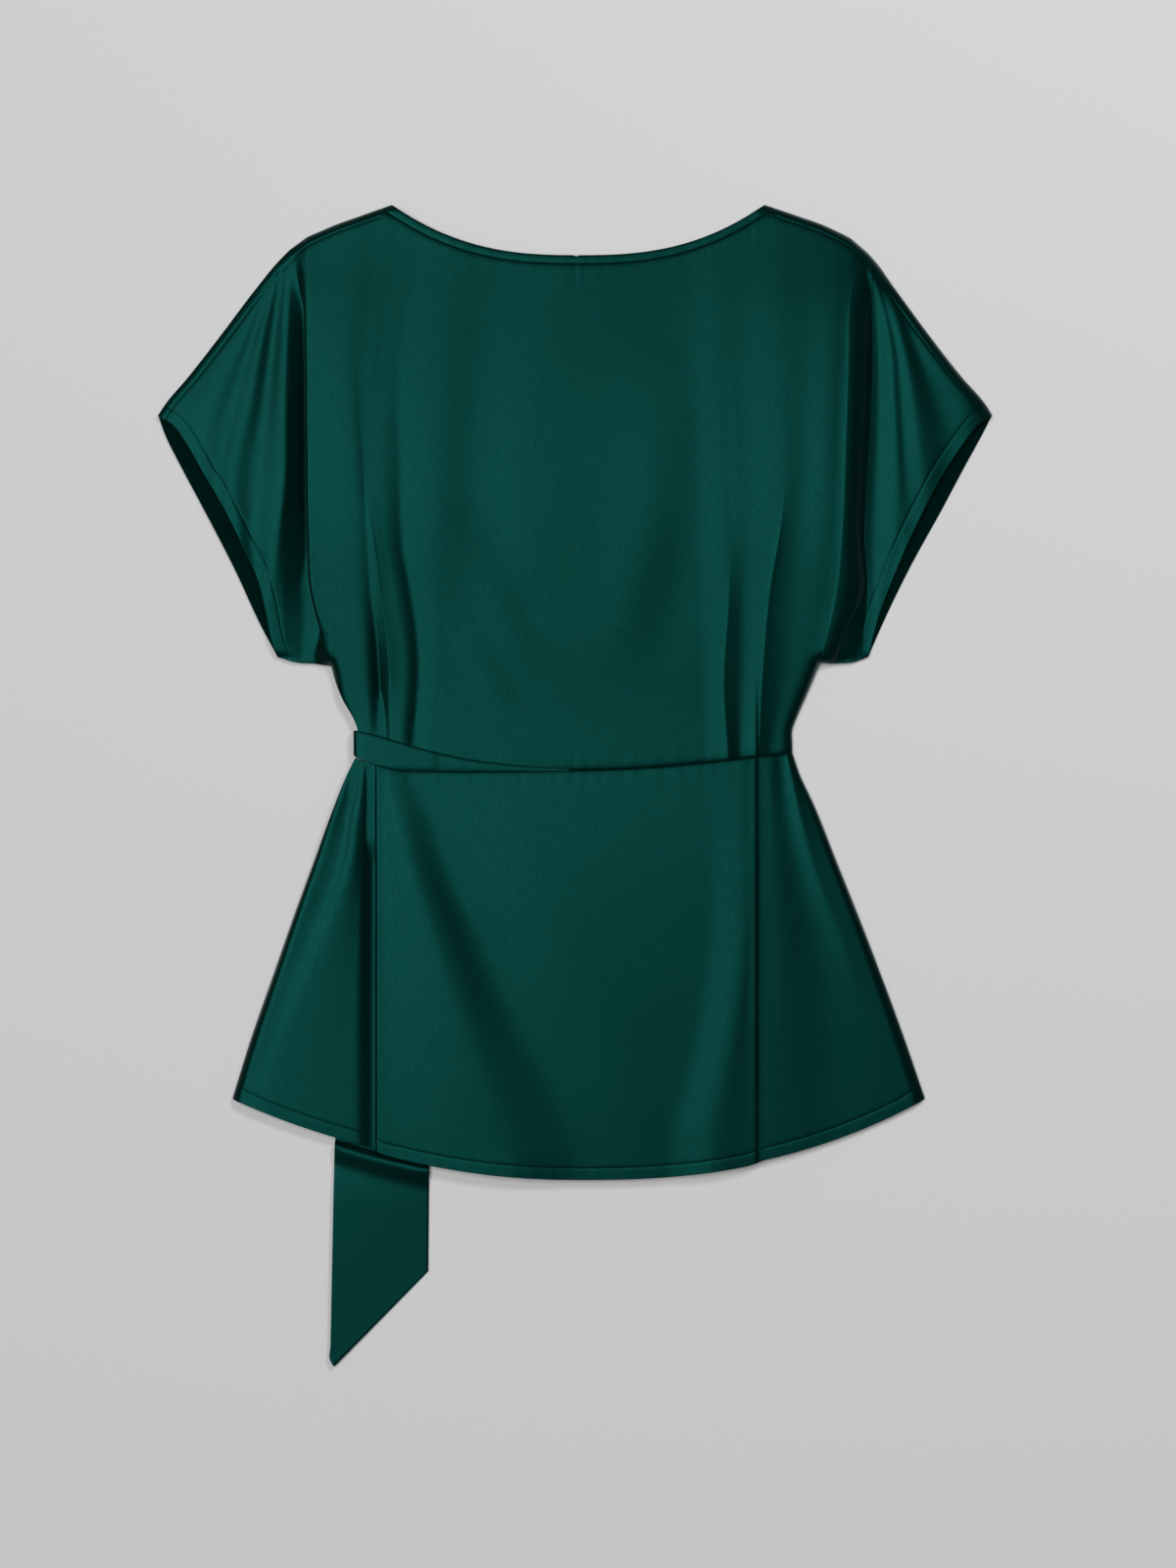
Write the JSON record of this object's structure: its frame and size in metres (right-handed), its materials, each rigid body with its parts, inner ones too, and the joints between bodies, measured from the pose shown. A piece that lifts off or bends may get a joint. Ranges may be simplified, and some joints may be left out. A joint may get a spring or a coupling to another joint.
{
  "type": "boat-neck blouse",
  "caption": "Satin boat-neck blouse laid flat, with grown-on elbow sleeves, a pleated waist, a flared peplum and a tie that wraps from the waist seam under the back.",
  "frame": {"origin": "centre of the bounding box's bottom face, on the surface the blouse lies on", "axes": "+Y from the hem up to the neck, +X to the viewer's right as seen from above, +Z away from the surface, out of the front"},
  "size_m": [0.5954, 0.829, 0.0211],
  "materials": {
    "satin": "satin"
  },
  "bodies": {
    "root": {"front_bodice": "satin", "back_bodice": "satin", "neck_band_front": "satin", "neck_band_back": "satin", "front_peplum": "satin", "back_peplum": "satin", "waist_tie": "satin"}
  },
  "joints": []
}
